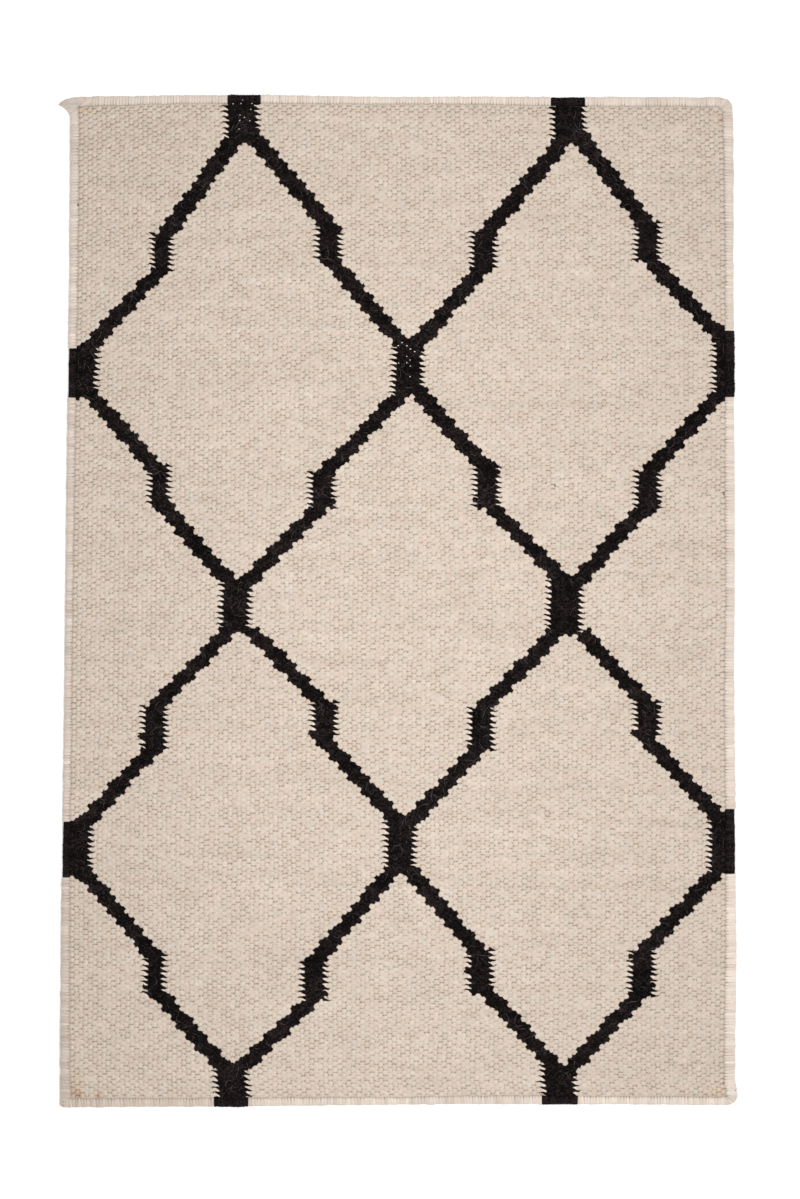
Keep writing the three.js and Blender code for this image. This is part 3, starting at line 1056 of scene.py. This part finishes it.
def stray(name, dark, light):
    """A bit of plant or hair that the carding left in the wool: matt, a little lighter in places."""
    material, tree, shader = new_material(name, 0.9, 0.0)
    here = add(tree, "ShaderNodeTexCoord").outputs["Object"]
    speckle = add(tree, "ShaderNodeTexNoise", {"Vector": here, "Scale": 900.0}).outputs["Fac"]
    colours = {0: speckle, 6: srgb(dark), 7: srgb(light)}
    colour = add(tree, "ShaderNodeMix", colours, data_type="RGBA").outputs[2]
    tree.links.new(colour, shader.inputs["Base Color"])
    return material


# Stage: floor, light and camera

# The photograph's height in pixels, its scale, the drawing's point at its middle, and the lens and sensor
IMAGE_HEIGHT = 1199
PIXELS_PER_MM = 1.1215
VIEW_MIDDLE = (2.65, 0.65)
LENS = 100.0
SENSOR = 36.0


def make_floor():
    """A plain pale floor just under the rug."""
    mesh = bpy.data.meshes.new("floor")
    size = 4.0
    drop = -0.0003
    corners = [(-size, -size, drop), (size, -size, drop), (size, size, drop), (-size, size, drop)]
    mesh.from_pydata(corners, [], [(0, 1, 2, 3)])
    material, tree, shader = new_material("floor_paper", 0.9, 0.0)
    shader.inputs["Base Color"].default_value = (0.92, 0.92, 0.92, 1.0)
    shader.inputs["Emission Color"].default_value = (1.0, 1.0, 1.0, 1.0)
    shader.inputs["Emission Strength"].default_value = 0.25
    mesh.materials.append(material)
    new_object("floor", mesh)


def make_light():
    """A long soft box over the rug, one far out to the right, and an even pale room."""
    world = bpy.data.worlds.new("studio")
    bpy.context.scene.world = world
    world.use_nodes = True
    background = world.node_tree.nodes["Background"]
    background.inputs["Color"].default_value = (1.0, 1.0, 1.0, 1.0)
    background.inputs["Strength"].default_value = 0.6
    for name, spot, width, length, power in (
        ("long_box", (0.02, 0.0, 0.75), 0.3, 1.5, 8.0),
        ("side_box", (2.0, -0.4, 1.2), 1.2, 1.2, 13.0),
    ):
        lamp = bpy.data.lights.new(name, "AREA")
        lamp.shape = "RECTANGLE"
        lamp.size = width
        lamp.size_y = length
        lamp.energy = power
        box = new_object(name, lamp)
        box.location = spot
        box.rotation_euler = (0.0, math.atan2(spot[0], spot[2]), 0.0)
        box.visible_camera = False


def make_camera():
    """Straight above, so far up that the image's height takes in what it does in the photograph."""
    data = bpy.data.cameras.new("camera")
    data.lens = LENS
    data.sensor_width = SENSOR
    data.clip_end = 50.0
    camera = new_object("camera", data)
    height_seen = IMAGE_HEIGHT / PIXELS_PER_MM * MM
    camera.location = (VIEW_MIDDLE[0] * MM, VIEW_MIDDLE[1] * MM, height_seen * LENS / SENSOR + CLOTH * MM)
    bpy.context.scene.camera = camera


make_camera()
make_floor()
make_light()
bpy.context.scene.view_settings.view_transform = "Standard"

# Each wool: the colour of its painted shade down in the pits, then its dark and its light colour
cream_weft = woollen(
    "cream_wool_weft", "#82735f", "#a6998c", "#d6cbc1",
    sheen=0.1, gloss=0.1, contrast=0.25, share=0.45, drift=0.25,
)
cream_yarn = woollen(
    "cream_overcast_yarn", "#6f6150", "#a4958a", "#e3d9cf",
    sheen=0.5, gloss=0.1, contrast=0.45, share=0.5, drift=0.4,
)
black_weft, black_yarn = (
    woollen(
        name, "#010101", "#040303", "#3c3232",
        sheen=0.0, gloss=0.06, contrast=1.6, share=share, drift=0.4,
    )
    for name, share in (("black_wool_weft", 0.13), ("black_overcast_yarn", 0.2))
)
cotton = stray("cotton_warp_end", "#bfb7b0", "#dcd5ce")
grey_hair = stray("loose_grey_hair", "#4f4947", "#857d79")
dark_bit = stray("dark_plant_bit", "#1c1614", "#352a25")
straw_bit = stray("straw_plant_bit", "#b0753f", "#c99560")
husk = stray("brown_husk", "#7d6b59", "#94806b")

face = face_points()
back = back_points()
for number in range(STRIPS):
    weave_strip(number, face, back, [cream_weft, black_weft])
sew_rim(cream_yarn, black_yarn)
loose_hairs("loose_hairs", face["black"][:ROWS], HAIRS, SEEDS["hairs"], grey_hair)
specks = [(x, y, SPECK_SHARE * length, SPECK_WIDTH, SPECK_TURN) for x, y, length in WARP_SPECKS]
bits("cotton_specks", specks, CLOTH - 0.15, 0.5, cotton)
bits("dark_flecks", DARK_FLECKS, CLOTH - 0.1, 0.4, dark_bit)
bits("straw_bits", STRAW_BITS, CLOTH - 0.15, 0.5, straw_bit)
bits("rim_fleck", RIM_FLECK, WRAP_TOP - 0.35, 0.4, husk)
